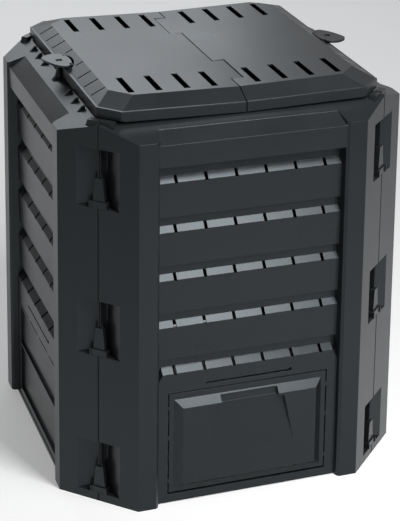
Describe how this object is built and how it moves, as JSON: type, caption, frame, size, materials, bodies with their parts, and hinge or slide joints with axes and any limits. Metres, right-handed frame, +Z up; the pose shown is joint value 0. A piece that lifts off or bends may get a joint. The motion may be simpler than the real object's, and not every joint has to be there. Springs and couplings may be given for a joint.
{
  "type": "compost bin with lid",
  "caption": "Square tapered garden composter of clipped louvred walls with chamfered corners, a split hinged lid with latches and swing-down emptying flaps.",
  "frame": {"origin": "middle of the footprint, on the ground", "axes": "+Z up, the front wall faces -Y, +X to the viewer's right when looking at the front"},
  "size_m": [0.719, 0.719, 0.828],
  "materials": {
    "body_plastic": "fine-grained satin",
    "lid_plastic": "fine-grained satin"
  },
  "bodies": {
    "body": {"wall_front": "body_plastic", "wall_right": "body_plastic", "wall_rear": "body_plastic", "wall_left": "body_plastic", "clip_front_right_1": "body_plastic", "clip_front_right_2": "body_plastic", "clip_front_right_3": "body_plastic", "clip_right_rear_1": "body_plastic", "clip_right_rear_2": "body_plastic", "clip_right_rear_3": "body_plastic", "clip_rear_left_1": "body_plastic", "clip_rear_left_2": "body_plastic", "clip_rear_left_3": "body_plastic", "clip_left_front_1": "body_plastic", "clip_left_front_2": "body_plastic", "clip_left_front_3": "body_plastic"},
    "lid_left": {"lid_left": "lid_plastic"},
    "lid_right": {"lid_right": "lid_plastic"},
    "latch_left": {"latch_left": "lid_plastic"},
    "latch_right": {"latch_right": "lid_plastic"},
    "flap_front": {"flap_front": "body_plastic"},
    "flap_rear": {"flap_rear": "body_plastic"}
  },
  "joints": [
    {"name": "lid_left_hinge", "type": "hinge", "parent": "body", "child": "lid_left", "pos_m": [-0.014, 0, 0.81604], "axis": [0, 1, 0], "range_deg": [0, 88]},
    {"name": "lid_right_hinge", "type": "hinge", "parent": "body", "child": "lid_right", "pos_m": [0.014, 0, 0.81604], "axis": [0, -1, 0], "range_deg": [0, 88]},
    {"name": "latch_left_pivot", "type": "hinge", "parent": "lid_left", "child": "latch_left", "pos_m": [-0.263, 0, 0.8105], "axis": [0, 1, 0], "range_deg": [0, 17]},
    {"name": "latch_right_pivot", "type": "hinge", "parent": "lid_right", "child": "latch_right", "pos_m": [0.263, 0, 0.8105], "axis": [0, -1, 0], "range_deg": [0, 17]},
    {"name": "flap_front_hinge", "type": "hinge", "parent": "body", "child": "flap_front", "pos_m": [0, -0.33753, 0.029], "axis": [1, 0, 0], "range_deg": [0, 90]},
    {"name": "flap_rear_hinge", "type": "hinge", "parent": "body", "child": "flap_rear", "pos_m": [0, 0.33753, 0.029], "axis": [-1, 0, 0], "range_deg": [0, 90]}
  ]
}
